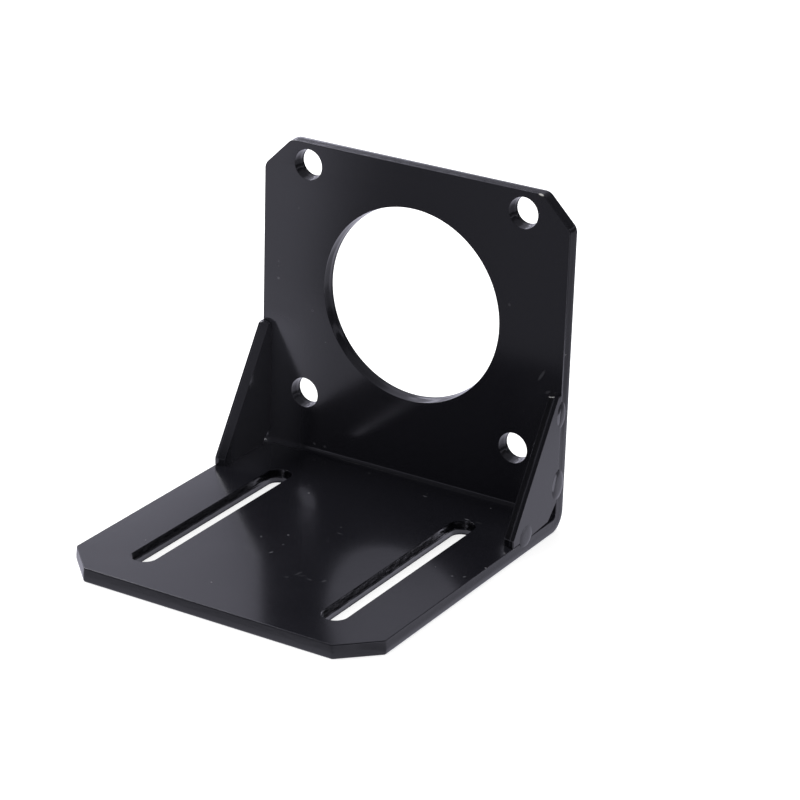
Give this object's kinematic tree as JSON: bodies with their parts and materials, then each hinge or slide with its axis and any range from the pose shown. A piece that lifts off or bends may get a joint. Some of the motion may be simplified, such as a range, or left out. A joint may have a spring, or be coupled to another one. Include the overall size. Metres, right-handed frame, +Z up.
{
  "type": "motor mounting bracket",
  "caption": "Folded steel angle bracket that holds a square-flange motor: round pilot bore and corner bolt holes in the upright, long adjusting slots in the base, welded side gussets.",
  "frame": {"origin": "middle of the footprint on the underside of the base", "axes": "+Z up, +Y from the front edge of the base towards the upright, X across the width"},
  "size_m": [0.068, 0.0708, 0.0664],
  "materials": {
    "plate_paint": "gloss black paint on folded sheet",
    "gusset_paint": "gloss black paint on sheared sheet",
    "tack_paint": "gloss black paint over dressed weld"
  },
  "bodies": {
    "root": {"bent_plate": "plate_paint", "gusset_left": "gusset_paint", "tack_upper_left": "tack_paint", "tack_lower_left": "tack_paint", "tack_toe_left": "tack_paint", "gusset_right": "gusset_paint", "tack_upper_right": "tack_paint", "tack_lower_right": "tack_paint", "tack_toe_right": "tack_paint"}
  },
  "joints": []
}
